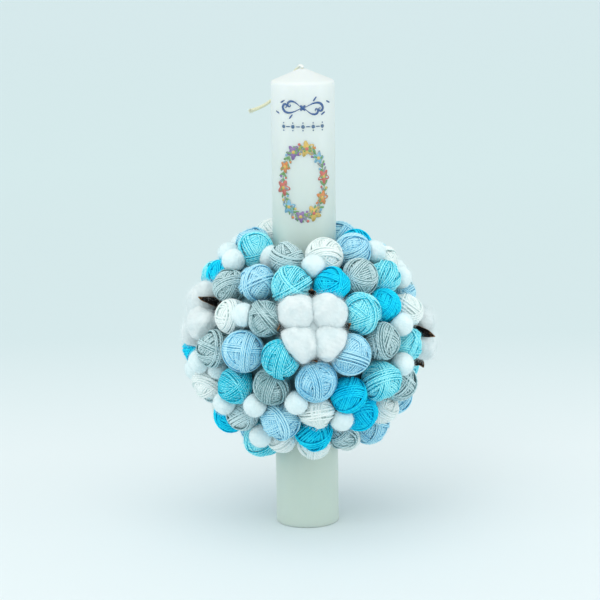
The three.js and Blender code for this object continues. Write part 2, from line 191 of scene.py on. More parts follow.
# The middle line of the wick's free end, from the pillar's tip
WICK_ROUTE = [
    (0, 0, 0.6), (-0.2, 0.4, 1.6), (-1.7, 3.2, 2.1), (-4.2, 8.2, -0.7), (-5.5, 14.4, -3.1),
    (-7, 21, -5.6), (-9.6, 27.2, -8.8), (-13.6, 31.2, -14.4), (-18.8, 31.4, -21.4), (-25, 27.4, -27.8),
    (-31.2, 21.5, -32.2), (-38, 15, -35), (-44.6, 9, -36.8),
]
CORE = np.array([0.0, 0.0, CORE_HEIGHT])


# Meshes from arrays


def unit(v):
    return v / np.linalg.norm(v, axis=-1, keepdims=True)


def add_object(name, data):
    obj = bpy.data.objects.new(name, data)
    bpy.context.collection.objects.link(obj)
    return obj


class Parts:
    """Gathers many small shells, in millimetres, into one mesh."""

    def __init__(self):
        self.points, self.shade, self.faces, self.count = [], [], [], 0

    def add(self, points, quads=(), tris=(), uv=None, shade=0.0, smooth=True):
        """Adds a shell. uv is a pair per point, or a pair per corner of each quad."""
        for faces in (np.asarray(quads), np.asarray(tris)):
            if not len(faces):
                continue
            sides = faces.shape[1]
            if uv is None or (uv.ndim == 3 and sides == 3):
                corners = np.zeros((len(faces), sides, 2))
            else:
                corners = uv if uv.ndim == 3 else uv[faces]
            self.faces.append((sides, faces + self.count, corners, np.full(len(faces), smooth)))
        self.points.append(points)
        self.shade.append(np.broadcast_to(shade, (len(points),)))
        self.count += len(points)

    def piece(self, name, look, node, slot):
        """The object of all the shells, which stands for a solid of the frame."""
        sides, faces, uv, smooth = zip(*sorted(self.faces, key=lambda part: -part[0]))
        sides = np.repeat(sides, [len(part) for part in faces])
        corners = np.concatenate([part.ravel() for part in faces])
        points = np.concatenate(self.points) * MM
        mesh = bpy.data.meshes.new(name)
        mesh.vertices.add(len(points))
        mesh.vertices.foreach_set("co", points.astype(np.float32).ravel())
        mesh.loops.add(len(corners))
        mesh.loops.foreach_set("vertex_index", corners.astype(np.int32))
        mesh.polygons.add(len(sides))
        mesh.polygons.foreach_set("loop_start", (np.cumsum(sides) - sides).astype(np.int32))
        mesh.polygons.foreach_set("use_smooth", np.concatenate(smooth))
        uv = np.concatenate([part.ravel() for part in uv]).astype(np.float32)
        mesh.uv_layers.new(name="along").data.foreach_set("uv", uv)
        shade = np.concatenate(self.shade).astype(np.float32)
        mesh.attributes.new("shade", "FLOAT", "POINT").data.foreach_set("value", shade)
        mesh.update(calc_edges=True)
        mesh.validate()
        mesh.materials.append(look.material)
        obj = add_object(name, mesh)
        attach(obj, "root")
        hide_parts(node)
        return obj


def skin(rows, sides):
    """Quads and end fans of a closed skin over rings of points."""
    i = np.arange(rows - 1)[:, None]
    k = np.arange(sides)[None]
    k2 = (k + 1) % sides
    quads = np.stack([i * sides + k, i * sides + k2, (i + 1) * sides + k2, (i + 1) * sides + k], -1)
    k = np.arange(1, sides - 1)
    end = (rows - 1) * sides
    first = np.stack([np.zeros_like(k), k + 1, k], -1)
    last = np.stack([np.full_like(k, end), end + k, end + k + 1], -1)
    return quads.reshape(-1, 4), np.concatenate([first, last])


def tube(line, normals, radius, sides):
    """Points, quads and end fans of a tube along a line, with its first corner along the normals."""
    tangent = unit(np.gradient(line, axis=0))
    normal = unit(normals - tangent * np.sum(normals * tangent, axis=1, keepdims=True))
    side = np.cross(tangent, normal)
    a = np.arange(sides) * TURN / sides
    radius = np.broadcast_to(radius, (len(line),))[:, None, None]
    ring = normal[:, None] * np.cos(a)[:, None] + side[:, None] * np.sin(a)[:, None]
    return (line[:, None] + radius * ring).reshape(-1, 3), *skin(len(line), sides)


def tube_uv(line, sides):
    """How far along, and what share of the way round, each corner of a tube's quads is."""
    at = lengths_along(line)
    u = np.stack([at[:-1], at[:-1], at[1:], at[1:]], -1)[:, None]
    v = np.arange(sides)[:, None] / sides + np.array([0, 1, 1, 0]) / sides
    return np.stack(np.broadcast_arrays(u, v), -1).reshape(-1, 4, 2)


def lathe(profile, sides):
    """A closed turned shell about z, from a profile that starts and ends near the axis."""
    a = np.arange(sides) * TURN / sides
    points = [np.stack([r * np.cos(a), r * np.sin(a), np.full(sides, float(z))], -1) for r, z in profile]
    return np.concatenate(points), *skin(len(profile), sides)


def lengths_along(line):
    return np.concatenate([[0], np.cumsum(np.linalg.norm(np.diff(line, axis=0), axis=1))])


def between(t, start, end, a, b):
    """The blend of a, at the start, and b, at the end."""
    return (end - t) / (end - start) * a + (t - start) / (end - start) * b


def smooth_route(points, steps):
    """An evenly stepped smooth curve through points, as a centripetal spline."""
    points = np.asarray(points, float)
    ends = np.vstack([2 * points[0] - points[1], points, 2 * points[-1] - points[-2]])
    out = []
    for p0, p1, p2, p3 in zip(ends, ends[1:], ends[2:], ends[3:]):
        t0 = 0.0
        t1 = t0 + np.linalg.norm(p1 - p0) ** 0.5
        t2 = t1 + np.linalg.norm(p2 - p1) ** 0.5
        t3 = t2 + np.linalg.norm(p3 - p2) ** 0.5
        t = np.linspace(t1, t2, 24, endpoint=False)[:, None]
        a1, a2, a3 = between(t, t0, t1, p0, p1), between(t, t1, t2, p1, p2), between(t, t2, t3, p2, p3)
        b1, b2 = between(t, t0, t2, a1, a2), between(t, t1, t3, a2, a3)
        out.append(between(t, t1, t2, b1, b2))
    line = np.vstack(out + [points[-1:]])
    at = lengths_along(line)
    even = np.linspace(0, at[-1], steps + 1)
    return np.stack([np.interp(even, at, line[:, i]) for i in range(3)], -1)


@functools.cache
def icosphere(level):
    """Unit points and triangles of a subdivided icosahedron."""
    bm = bmesh.new()
    bmesh.ops.create_icosphere(bm, subdivisions=level, radius=1.0)
    points = np.array([v.co[:] for v in bm.verts])
    tris = np.array([[v.index for v in f.verts] for f in bm.faces])
    bm.free()
    return points, tris


# The end of the range of a random phase
PHASE = 6.3


def waves(points, seed, octaves, size):
    """A smooth random field, mostly from -1 to 1. size is its coarsest wavelength."""
    rng = np.random.default_rng(seed)
    total, weight = np.zeros(len(points)), 0.0
    for octave in range(octaves):
        share = 0.55**octave
        for _ in range(5):
            d = unit(rng.normal(size=3)) * TURN / (size * 0.5**octave)
            total += share * np.sin(points @ d + rng.uniform(0, PHASE))
        weight += share * 2.2
    return np.clip(total / weight, -1.5, 1.5)


# Where each lump sits

# Only neighbours between these distances press a lump
NEIGHBOUR_NEAR, NEIGHBOUR_FAR = 12, 60
# How far the lobes of one boll run into each other
LOBE_SLACK = 1.7
# How round a pressed lump's edges are: a lower number is rounder
BALL_FIRMNESS, POMPOM_FIRMNESS, LINT_FIRMNESS = 18.0, 12.0, 5.5
# A lobe of lint is fuller than an ellipsoid, whose power is 2
LINT_POWER = 2.15


def outward(azimuth, latitude):
    a, b = math.radians(azimuth), math.radians(latitude)
    return np.array([math.sin(a) * math.cos(b), -math.cos(a) * math.cos(b), math.sin(b)])


def axes_for(out):
    right = unit(np.cross([0, 0, 1], out))
    return np.array([right, np.cross(out, right), out])


def balls_of(group, rows):
    """The balls of one solid. Each after the first is drawn up to the nearest one before it."""
    made = []
    for kind, *rest in rows:
        soft = kind in (FELT, TUFT)
        azimuth, latitude = rest[-2:]
        radius = POMPOM_RADIUS if soft else rest[0] / 2
        distance = CORE_RADIUS + (POMPOM_RISE if kind == FELT else SEAT_GAP + radius - SEAT_FLAT)
        out = outward(azimuth, latitude)
        if made:
            near = min(made, key=lambda b: -float(out @ b["out"]))
            r1, r2, apart = near["distance"], distance, near["radius"] + radius - GLUE_OVERLAP
            angle = math.acos((r1 * r1 + r2 * r2 - apart * apart) / (2 * r1 * r2))
            across = unit(np.cross(near["out"], out))
            out = near["out"] * math.cos(angle) + np.cross(across, near["out"]) * math.sin(angle)
        ball = dict(group=group, color=kind, out=out, distance=distance, radius=radius)
        made.append(dict(ball, center=CORE + out * distance, axes=axes_for(out), reach=np.full(3, radius)))
    return made


def boll_frame(side):
    """The origin and the three axes of a boll, scaled by its size: x and y across the core, z out of it."""
    boll = BOLLS[side]
    out = outward(*boll.place)
    return CORE + out * (CORE_RADIUS + SEAT_GAP + boll.stem), axes_for(out) * boll.size


def lobes_of(side):
    boll = BOLLS[side]
    origin, axes = boll_frame(side)
    lobes = []
    for degrees in LOBE_PLACES:
        a = math.radians(degrees + boll.turn)
        c, s = math.cos(a), math.sin(a)
        local = np.array([[c, s, 0], [-s, c, 0], [0, 0, 1]])
        center = origin + np.array([LOBE_OFFSET * c, LOBE_OFFSET * s, LOBE_LIFT]) @ axes
        reach = np.array(LOBE_REACH) * boll.size
        lobes.append(dict(group="lint_" + side, center=center, axes=local @ axes / boll.size, reach=reach))
    return lobes


def bract_line(side, degrees, steps, form):
    """The middle line of a bract in its boll's frame, with its sideways direction."""
    boll = BOLLS[side]
    a = math.radians(degrees + boll.turn + form.turn)
    c, s = math.cos(a), math.sin(a)
    line = []
    for i, (across, up) in enumerate(BRACT_SHAPE):
        reach = across * BRACT_LENGTH * form.spread
        sink = (boll.droop + form.droop) / boll.size * (i / (len(BRACT_SHAPE) - 1)) ** 2
        line.append((reach * c, reach * s - sink, up * BRACT_LENGTH * form.rise))
    return smooth_route(line, steps), np.array([-s, c, 0])


def bract_breadth(t, fullness):
    """How broad a bract is along its length, as a share of its width."""
    late = 1 - 0.93 * np.maximum(2 * t - 1, 0) ** fullness
    return np.where(t < 0.5, 0.35 + 0.65 * np.sin(math.pi * t), late)


def bract_guards(forms):
    """Small balls along the bracts, which lumps give way to: place, radius, and whether it is at a tip."""
    guards = []
    for side, boll in BOLLS.items():
        origin, axes = boll_frame(side)
        for degrees in BRACT_PLACES:
            form = forms.get((side, degrees), BractForm())
            line, side_way = bract_line(side, degrees, 10, form)
            half = BRACT_WIDTH / 2 * boll.broad * form.breadth * bract_breadth(np.linspace(0, 1, 11), 1.8)
            for share in (-0.6, 0, 0.6):
                places = origin + (line + side_way * (share * half)[:, None]) @ axes
                guards += list(zip(places, boll.size * (0.25 * half + 0.3), np.arange(11) > 8))
    return guards


def reach_along(lump, directions):
    """How far a free lump reaches: an ellipsoid, or a fuller form where its power is over 2."""
    power = lump.get("power", 2)
    return np.sum(np.abs(directions @ lump["axes"].T / lump["reach"]) ** power, axis=-1) ** (-1 / power)


balls = [ball for group, rows in GROUPS.items() for ball in balls_of(group, rows)]
lobes = {side: lobes_of(side) for side in BOLLS}
lumps = balls + [lobe for side in BOLLS for lobe in lobes[side]]
SOLID_BRACTS = bract_guards({})
DRAWN_BRACTS = bract_guards(BRACT_FORMS)


def limits_on(lump, guards=SOLID_BRACTS):
    """A lump's flat limits: unit directions and distances, of its neighbours and then of bracts."""
    near = []
    for other in lumps:
        line = other["center"] - lump["center"]
        apart = np.linalg.norm(line)
        if apart < NEIGHBOUR_NEAR or apart > NEIGHBOUR_FAR:
            continue
        d = line / apart
        mine, theirs = reach_along(lump, d), reach_along(other, d)
        if apart < mine + theirs:
            slack = LOBE_SLACK if other["group"] == lump["group"] and "lint" in lump["group"] else 0.0
            near.append((d, (apart * apart + mine * mine - theirs * theirs) / (2 * apart) + slack))
    to_core, to_pillar = CORE - lump["center"], -lump["center"] * [1, 1, 0]
    for line, radius in ((to_core, CORE_RADIUS), (to_pillar, CANDLE_RADIUS)):
        near.append((unit(line), np.linalg.norm(line) - radius - SEAT_GAP))
    thin = []
    for place, radius, _ in guards:
        line = place - lump["center"]
        apart = np.linalg.norm(line)
        if radius + 1 < apart < max(lump["reach"]) + radius + 3:
            thin.append((line / apart, apart - radius))
    return [tuple(np.array(part) for part in zip(*limits)) for limits in (near, thin)]


def pressed(lump, directions, limits, firmness=BALL_FIRMNESS):
    """How far a lump's skin reaches in each direction, eased round at its flats."""
    total = reach_along(lump, directions) ** -firmness
    for kind, found in enumerate(limits):
        if found:
            share = directions @ found[0].T
            allowed = np.where(share > 0.02, np.maximum(found[1], 1.0) / np.maximum(share, 0.02), 1e6)
            terms = allowed**-firmness
            total = total + (np.max(terms, axis=-1) if kind else np.sum(terms, axis=-1))
    return total ** (-1 / firmness)


# Materials


class Look:
    """A material of one Principled shader, with short ways to add and join its nodes."""

    def __init__(self, name, color, roughness, **sockets):
        self.material = bpy.data.materials.new(name)
        self.material.use_nodes = True
        self.tree = self.material.node_tree
        self.inputs = self.tree.nodes["Principled BSDF"].inputs
        self.inputs["Base Color"].default_value = (*color, 1)
        self.inputs["Roughness"].default_value = roughness
        for key, value in sockets.items():
            self.inputs[key.replace("_", " ")].default_value = value

    def put(self, value, socket):
        """Sets an input socket to a value, or joins it to another node's output."""
        if isinstance(value, bpy.types.NodeSocket):
            self.tree.links.new(value, socket)
        else:
            socket.default_value = value

    def node(self, kind, **settings):
        """A new node. Each setting is an input's value or feed, or else a property."""
        made = self.tree.nodes.new("ShaderNode" + kind)
        for key, value in settings.items():
            if key in made.inputs:
                self.put(value, made.inputs[key])
            else:
                setattr(made, key, value)
        return made

    def math(self, operation, *values):
        made = self.node("Math", operation=operation)
        for value, socket in zip(values, made.inputs):
            self.put(value, socket)
        return made.outputs[0]

    def place(self):
        return self.node("TexCoord").outputs["Object"]

    def along(self):
        return self.node("UVMap", uv_map="along").outputs["UV"]

    def shade(self):
        return self.node("Attribute", attribute_name="shade").outputs["Fac"]

    def noise(self, scale, detail, **settings):
        made = self.node("TexNoise", Vector=self.place(), Scale=scale, Detail=detail, **settings)
        return made.outputs["Fac"]

    def bump(self, height, strength, distance):
        made = self.node("Bump", Height=height, Strength=strength, Distance=distance)
        self.put(made.outputs[0], self.inputs["Normal"])

    def paint(self, tone, stops):
        """Colours it by a tone from 0 to 1, between stops of a tone and a colour."""
        ramp = self.node("ValToRGB", Fac=tone)
        elements = ramp.color_ramp.elements
        while len(elements) < len(stops):
            elements.new(0.5)
        for element, (place, color) in zip(elements, stops):
            element.position = place
            element.color = (*color, 1)
        self.put(ramp.outputs[0], self.inputs["Base Color"])


def srgb(*tone):
    """A colour from its 0 to 255 screen values."""
    return tuple((c / 255 / 12.92) if c < 11 else ((c / 255 + 0.055) / 1.055) ** 2.4 for c in tone)


# The length of yarn in which a ply goes once round
PLY_LENGTH = 3.6


def yarn_look(name, deep, middle, pale):
    """Soft plied yarn with slanting plies, with painted light: a painted highlight along the top of each
    strand and painted shade beside it.
    """
    look = Look(name, middle, 0.95, Specular_IOR_Level=0.05)
    way, around, _ = look.node("SeparateXYZ", Vector=look.along()).outputs
    way = look.math("MULTIPLY", way, TURN / PLY_LENGTH)
    ply = look.math("SINE", look.math("MULTIPLY_ADD", around, 2 * TURN, way))
    look.bump(look.math("MULTIPLY_ADD", ply, 0.5, look.noise(1400, 3)), 0.5, 0.0004)
    tone = look.math("MULTIPLY_ADD", ply, 0.07, look.shade())
    tone = look.math("MULTIPLY_ADD", look.noise(90, 2), 0.35, tone)
    look.paint(look.math("SUBTRACT", tone, 0.14), [(0.25, deep), (0.78, middle), (0.98, pale)])
    return look


def fluff_look(name, color, shadow, scale, soft):
    """Matted white fibre, with a soft grain. soft is how much light passes through its skin."""
    look = Look(
        name, color, 0.95, Sheen_Weight=0.1, Sheen_Roughness=0.6, Specular_IOR_Level=0.2,
        Subsurface_Weight=soft, Subsurface_Scale=0.005, Subsurface_Radius=(1, 1, 1),
    )
    look.bump(look.noise(scale, 5, Roughness=0.65), 0.5, 0.0006)
    look.paint(look.noise(130, 3), [(0.25, shadow), (0.6, color)])
    return look


def husk_look():
    """Dry bract: nearly black brown, ribbed along, with paler reddish edges and tips."""
    look = Look("husk_brown", (0.06, 0.028, 0.02), 0.75, Specular_IOR_Level=0.12)
    ribs = look.node(
        "TexWave", Vector=look.along(), Scale=1.6, Distortion=2.5, Detail=3, bands_direction="Y"
    )
    look.bump(ribs.outputs["Fac"], 0.7, 0.0005)
    tone = look.math("MULTIPLY_ADD", look.shade(), 0.45, look.noise(420, 4))
    stops = [(0.45, (0.003, 0.004, 0.004)), (0.72, (0.016, 0.009, 0.007)), (0.92, (0.48, 0.24, 0.10))]
    look.paint(tone, stops)
    return look


def wax_look():
    """White wax with painted light and shade: lighter towards the top, as painted light from above, and
    darker and greener low down, as painted shade under the ball.
    """
    look = Look(
        "wax_white", (0.70, 0.82, 0.78), 0.38, IOR=1.44, Subsurface_Weight=0.6, Subsurface_Scale=0.012,
        Subsurface_Radius=(1, 0.95, 0.8),
    )
    height = look.node("SeparateXYZ", Vector=look.place()).outputs[2]
    cloud = look.math("MULTIPLY", look.noise(16, 3), 0.12)
    # Painted light and shade by height: darker and greener low down, lighter towards the top.
    tone = look.math("MULTIPLY_ADD", height, 2.2, cloud)
    stops = [(0.2, (0.565, 0.66, 0.60)), (0.64, (0.59, 0.69, 0.655)), (0.95, (0.78, 0.82, 0.825))]
    look.paint(tone, stops)
    look.bump(look.noise(300, 4), 0.12, 0.0003)
    return look


def wick_look():
    """Cream cotton braid, whiter where its shade says that it is waxed; its frayed fibres are painted a
    little paler, as painted light.
    """
    look = Look("wick_cream", (0.80, 0.80, 0.60), 0.75, Sheen_Weight=0.1)
    grain = look.noise(900, 4)
    tone = look.math("MULTIPLY_ADD", look.shade(), 0.6, grain)
    look.paint(tone, [(0.2, (0.66, 0.63, 0.38)), (0.55, (0.82, 0.82, 0.60)), (0.95, (0.86, 0.89, 0.86))])
    look.bump(grain, 0.5, 0.0003)
    return look


def ink_look(ink):
    color = INKS[ink]
    look = Look("ink_" + ink, color, 0.5)
    look.paint(look.noise(500, 3), [(0.3, color), (0.75, tuple(c * 0.8 + 0.12 for c in color))])
    return look


# The core is coloured dark teal as painted shade, standing for the deep shade in the gaps between the balls
# where it shows.
def foam_shade_look():
    look = Look("foam_teal_painted_shade", (0.13, 0.27, 0.31), 0.85)
    beads = look.node("TexVoronoi", Vector=look.place(), Scale=380)
    look.bump(beads.outputs["Distance"], 0.4, 0.0006)
    return look


def floor_look():
    """Pale, and a little bluer and darker some metres back."""
    look = Look("floor_pale", (0.72, 0.84, 0.86), 0.7)
    back = look.node("SeparateXYZ", Vector=look.place()).outputs[1]
    stops = [
        (0.03, (0.77, 0.84, 0.87)), (0.1, (0.65, 0.77, 0.80)), (0.3, (0.67, 0.81, 0.835)),
        (0.8, (0.68, 0.81, 0.845)),
    ]
    look.paint(look.math("DIVIDE", back, 8.0), stops)
    return look


# Each yarn's deep, middle and pale colour: the deep one is painted shade in the gaps between strands, the
# pale one a painted highlight along their tops.
YARN_TONES = {
    P: [(76, 150, 193), (130, 203, 234), (199, 243, 254)],
    A: [(0, 146, 178), (48, 204, 231), (172, 249, 254)],
    T: [(0, 138, 186), (0, 189, 238), (40, 230, 254)],
    G: [(74, 114, 120), (137, 176, 182), (212, 235, 239)],
    W: [(206, 229, 229), (225, 240, 239), (245, 251, 251)],
}
YARN = {kind: yarn_look("yarn_" + kind, *(srgb(*t) for t in tones)) for kind, tones in YARN_TONES.items()}
# How much lighter or darker some balls are painted, as a share of the way from deep to pale: mostly painted
# light and shade, for how much light each ball catches where it sits, and partly each ball's own colour
BALL_LIGHT_AND_DYE = {
    "gray_top": 0.08, "gray_front": -0.03, "gray_lower_front": -0.12, "gray_bottom_left": 0.1,
    "aqua_front": -0.1, "aqua_lower_left": -0.12, "periwinkle_lower_front": -0.06, "turquoise_pair": -0.04,
    "white_lower_front": -0.06,
}
FELT_WHITE = fluff_look("felt_white", srgb(232, 247, 250), srgb(218, 238, 242), 900, 0.25)
COTTON_WHITE = fluff_look("cotton_lint", srgb(234, 243, 245), srgb(222, 235, 238), 420, 0.4)
HUSK = husk_look()
WICK = wick_look()


# Fine fibres


def directions(rng, count, way, least):
    """Random unit directions, without those that point too far away from a way."""
    d = unit(rng.normal(size=(count, 3)))
    return d[d @ way > least]


def fibres(parts, roots, out, rng, length, thick, lift, bend, steps=2, shade=0.0):
    """Fine tapering hairs. lift is how far each one stands up, from 0, lying flat, to 1."""
    n = len(roots)
    across = unit(np.cross(out, rng.normal(size=(n, 3))))
    lift = rng.uniform(lift[0], lift[1], (n, 1))
    direction = unit(out * lift + across * (1 - lift))
    curl = unit(np.cross(direction, rng.normal(size=(n, 3))))
    long = rng.uniform(length[0], length[1], (n, 1))
    t = np.linspace(0, 1, steps + 1)[:, None]
    line = roots[:, None] + (long * direction)[:, None] * t + (long * curl * bend)[:, None] * t**2
    tangent = unit(direction[:, None] + 2 * bend * curl[:, None] * t)
    side = unit(np.cross(tangent, out[:, None] + 0.01))
    other = np.cross(tangent, side)
    a = (np.arange(3) * TURN / 3)[:, None]
    ring = side[:, :, None] * np.cos(a) + other[:, :, None] * np.sin(a)
    radius = thick * (1 - 0.75 * t)[..., None]
    points = (line[:, :, None] + radius * ring).reshape(-1, 3)
    start = np.arange(n)[:, None] * (steps + 1) * 3
    quads, tris = skin(steps + 1, 3)
    quads = (quads + start[:, None]).reshape(-1, 4)
    tris = (tris[:, None] + start).reshape(-1, 3)
    parts.add(points, quads, tris, shade=shade, smooth=False)


# Yarn balls

# How far the windings stand past the solid ball, and how many times as thick white yarn is
BALL_PROUD = 0.75
WHITE_THICKER = 1.12
# The spacing of turns in strand radii, how wide a band of the bed is, how many turns one on top has, and how
# far each lies off its girdle, in radians
LANE_SPACING = (1.75, 2.0)
BED_REACH = 1.4
TOP_TURNS = (4, 7)
BED_SHIFT, TOP_SHIFT = 0.08, 0.38
# The most that two bands' axes in turn may share
AXIS_SHARE = 0.75
# How far a strand wanders off its lane, slowly and from turn to turn, and up and down
WANDER = 0.13
WANDER_RATES = (0.37, 0.63, 1.13, 1.71)
WOBBLE = 0.11
SWELL, SWELL_RATE = 0.12, 0.91
# A band's ends are tucked in by so much over so many steps
TUCK_DEPTH, TUCK_STEPS = 1.8, 8.0
FUZZ_COUNT = 600


def next_axis(rng, last):
    """A random axis that isn't close to the last one."""
    while True:
        axis = unit(rng.normal(size=3))
        if abs(axis @ last) < AXIS_SHARE:
            return axis


def winding(rng, axis, radius, on_top, stretch):
    """A band of turns side by side round an axis: the unit directions and heights of its strand."""
    u = unit(np.cross(axis, rng.normal(size=3)))
    v = np.cross(axis, u)
    spacing = STRAND_RADIUS * rng.uniform(*LANE_SPACING) / radius
    turns = int(rng.integers(*TOP_TURNS)) if on_top else math.ceil(BED_REACH / spacing)
    n = turns * STEPS_PER_TURN
    phi = np.linspace(0, TURN * turns, n)
    lap = phi / TURN
    wander = sum(rng.normal() * WANDER * np.sin(phi * rate + rng.uniform(0, PHASE)) for rate in WANDER_RATES)
    wobble = rng.normal(size=turns + 2) * WOBBLE
    lane = lap - turns / 2 + wander + np.interp(lap, np.arange(turns + 2), wobble)
    latitude = lane * spacing + rng.uniform(-1, 1) * (TOP_SHIFT if on_top else BED_SHIFT)
    girdle = np.cos(phi)[:, None] * u + np.sin(phi)[:, None] * v
    d = unit((np.cos(latitude)[:, None] * girdle + np.sin(latitude)[:, None] * axis) * stretch)
    tuck = np.clip(np.minimum(np.arange(n), np.arange(n)[::-1]) / TUCK_STEPS, 0, 1)
    swell = SWELL * np.sin(phi * SWELL_RATE + rng.uniform(0, PHASE))
    return d, radius + swell - TUCK_DEPTH * (1 - tuck)


def yarn_ball(name, ball, seed):
    """A small ball of soft yarn: a bed that covers it, bands laid across each other, and fuzz."""
    rng = np.random.default_rng(seed)
    parts = Parts()
    limits = limits_on(ball)
    radius = ball["radius"] + BALL_PROUD
    layers = BED_LAYERS + TOP_LAYERS
    stretch = 1 + rng.normal(size=3) * 0.02
    # The ball's shift of tone, mostly painted light and shade and partly its own colour, moves all its tones.
    tone = BALL_LIGHT_AND_DYE.get(ball["group"], 0.0)
    # Painted light on each strand: highest along its outer top, a painted highlight, and lowest beside and
    # under it, a painted shade.
    pale = 0.5 + 0.5 * np.cos(TURN * np.arange(STRAND_SIDES) / STRAND_SIDES) + tone
    thick = STRAND_RADIUS * (WHITE_THICKER if ball["color"] == W else 1)

    def over(d, height):
        """Places over the ball, lower where it is pressed."""
        give = pressed(ball, d, limits) / ball["radius"]
        return ball["center"] + d * (give * height)[:, None]

    bed = axes_for(unit(rng.normal(size=3)))
    axis = None
    for layer in range(layers):
        on_top = layer >= BED_LAYERS
        axis = next_axis(rng, axis) if on_top else bed[layer]
        depth = (layers - 1 - layer) * LAYER_DROP + STRAND_RADIUS
        d, height = winding(rng, axis, radius - depth, on_top, stretch)
        line = over(d, height)
        uv, shade = tube_uv(line, STRAND_SIDES), np.tile(pale, len(line))
        parts.add(*tube(line, d, thick, STRAND_SIDES), uv=uv, shade=shade)
    # The heart that shows between the strands is painted in the deep tone, as painted shade.
    points, tris = icosphere(3)
    heart = over(points, radius - layers * LAYER_DROP - 0.6)
    parts.add(heart, tris=tris, shade=0.35 + tone)
    d = directions(rng, FUZZ_COUNT, ball["out"], -0.4)
    fibres(parts, over(d, radius - 0.9), d, rng, (1.4, 3.2), 0.042, (0.1, 0.75), 0.5, shade=0.9 + tone)
    parts.piece(name, YARN[ball["color"]], "yarn_" + ball["group"], "yarn_" + ball["color"])


# Pompoms and bolls

POMPOM_HAIRS = 2200
# Two coats of hairs on each lobe of lint: their number, lengths, lift and bend
LINT_COATS = [(3300, (2.0, 6.0), (0.0, 0.45), 0.5), (1900, (3.5, 8.5), (0.1, 0.62), 0.6)]
LINT_HAIR = 0.033
# The small cushion between a boll's lobes
LINT_HEART = (15, 15, 6)
# A bract's mesh, its thickness, and the share of its length that is its hooked tip
BRACT_STEPS, BRACT_ACROSS = 40, 12
BRACT_HALF_THICKNESS = 0.5
HOOK_SHARE = 0.16


def pompom(name, ball, seed):
    """A felt ball: a slightly lumpy matted body under short dense hair."""
    rng = np.random.default_rng(seed)
    parts = Parts()
    limits = limits_on(ball)
    points, tris = icosphere(5)
    r = pressed(ball, points, limits, POMPOM_FIRMNESS)
    lumpy = 1 + 0.018 * waves(points * 10, seed, 3, 9.0)
    r = r * lumpy + 0.16 * waves(points * 10, seed + 1, 3, 2.2)
    parts.add(ball["center"] + points * r[:, None], tris=tris)
    d = directions(rng, POMPOM_HAIRS, ball["out"], -0.5)
    roots = ball["center"] + d * (pressed(ball, d, limits, POMPOM_FIRMNESS) - 0.3)[:, None]
    fibres(parts, roots, d, rng, (0.9, 2.7), 0.037, (0.15, 0.75), 0.6)
    parts.piece(name, FELT_WHITE, "yarn_" + ball["group"], "cotton")


def cotton_lint(side, seed):
    """The lint of an open boll: four plump lobes pressed together, with loose wisps."""
    rng = np.random.default_rng(seed)
    origin, axes = boll_frame(side)
    # The front boll's lint swells over its bracts and gives way only to their tips.
    guards = [guard for guard in DRAWN_BRACTS if side != "front" or guard[2]]
    for i, lobe in enumerate(lobes[side]):
        parts = Parts()
        *form, shift = LOBE_FORMS.get(side, OTHER_LOBES)[i]
        lobe = dict(lobe, reach=lobe["reach"] * form, center=lobe["center"] + unit(lobe["axes"][0]) * shift)
        limits = limits_on(lobe, guards)
        lobe["power"] = LINT_POWER
        points, tris = icosphere(6)
        world = points @ lobe["axes"]
        place = world * pressed(lobe, world, limits, LINT_FIRMNESS)[:, None] + lobe["center"]
        lumpy = 1.0 * waves(place, seed * 10 + i, 2, 18.0) + 0.2 * waves(place, seed * 10 + i + 5, 3, 3.5)
        parts.add(place + world * lumpy[:, None], tris=tris)
        for count, length, lift, bend in LINT_COATS:
            d = directions(rng, count, lobe["axes"][2], -0.35)
            roots = lobe["center"] + d * (pressed(lobe, d, limits, LINT_FIRMNESS) - 0.5)[:, None]
            fibres(parts, roots, d, rng, length, LINT_HAIR, lift, bend, steps=3)
        if i == 0:
            points, tris = icosphere(5)
            parts.add(origin + (points * LINT_HEART + (0, 0, LOBE_LIFT)) @ axes, tris=tris)
        parts.piece(f"lint_{side}_{i}", COTTON_WHITE, "cotton_lint_" + side, "cotton")


def bract(side, degrees, rng):
    """A bract's rings in its boll's frame, cupped, twisted and hooked, their uv and how pale they are."""
    form = BRACT_FORMS.get((side, degrees), BractForm())
    t = np.linspace(0, 1, BRACT_STEPS + 1)
    s = np.linspace(-1, 1, BRACT_ACROSS + 1)
    line, side_way = bract_line(side, degrees, BRACT_STEPS, form)
    normal = np.cross(side_way, unit(np.gradient(line, axis=0)))
    breadth = BRACT_WIDTH / 2 * BOLLS[side].broad * form.breadth * bract_breadth(t, 2.6)
    breadth = breadth * (1 + 0.07 * np.sin(t * 19 + rng.uniform(0, 6)))
    twist = (rng.normal() * 0.3 * t**2 + form.twist * np.minimum(1, 2.2 * t))[:, None]
    hook = np.maximum(t - (1 - HOOK_SHARE), 0) / HOOK_SHARE
    cup = 0.42 * s**2 * breadth[:, None] + 0.12 * np.sin(t * 23 + rng.uniform(0, 6))[:, None] * s
    cup = cup - (1.8 * hook)[:, None]
    flat = s[None, :] * breadth[:, None] + (1.4 * hook**2)[:, None]
    shells = []
    for thick in (BRACT_HALF_THICKNESS, -BRACT_HALF_THICKNESS):
        edge = thick * (1 - 0.75 * s**4)[None, :] * (1.15 - 0.75 * t)[:, None]
        x = flat * np.cos(twist) - (cup + edge) * np.sin(twist)
        z = flat * np.sin(twist) + (cup + edge) * np.cos(twist)
        shells.append(line[:, None] + x[..., None] * side_way + z[..., None] * normal[:, None])
    rings = np.concatenate([shells[0], shells[1][:, ::-1]], axis=1)
    rim = np.concatenate([s, s[::-1]])
    pale = np.maximum(np.abs(rim)[None] ** 9, (t**7)[:, None]) * 0.95
    uv = np.stack([np.repeat(t * 10, len(rim)), np.tile((rim + 1) * 3, len(t))], -1)
    return rings, uv, pale


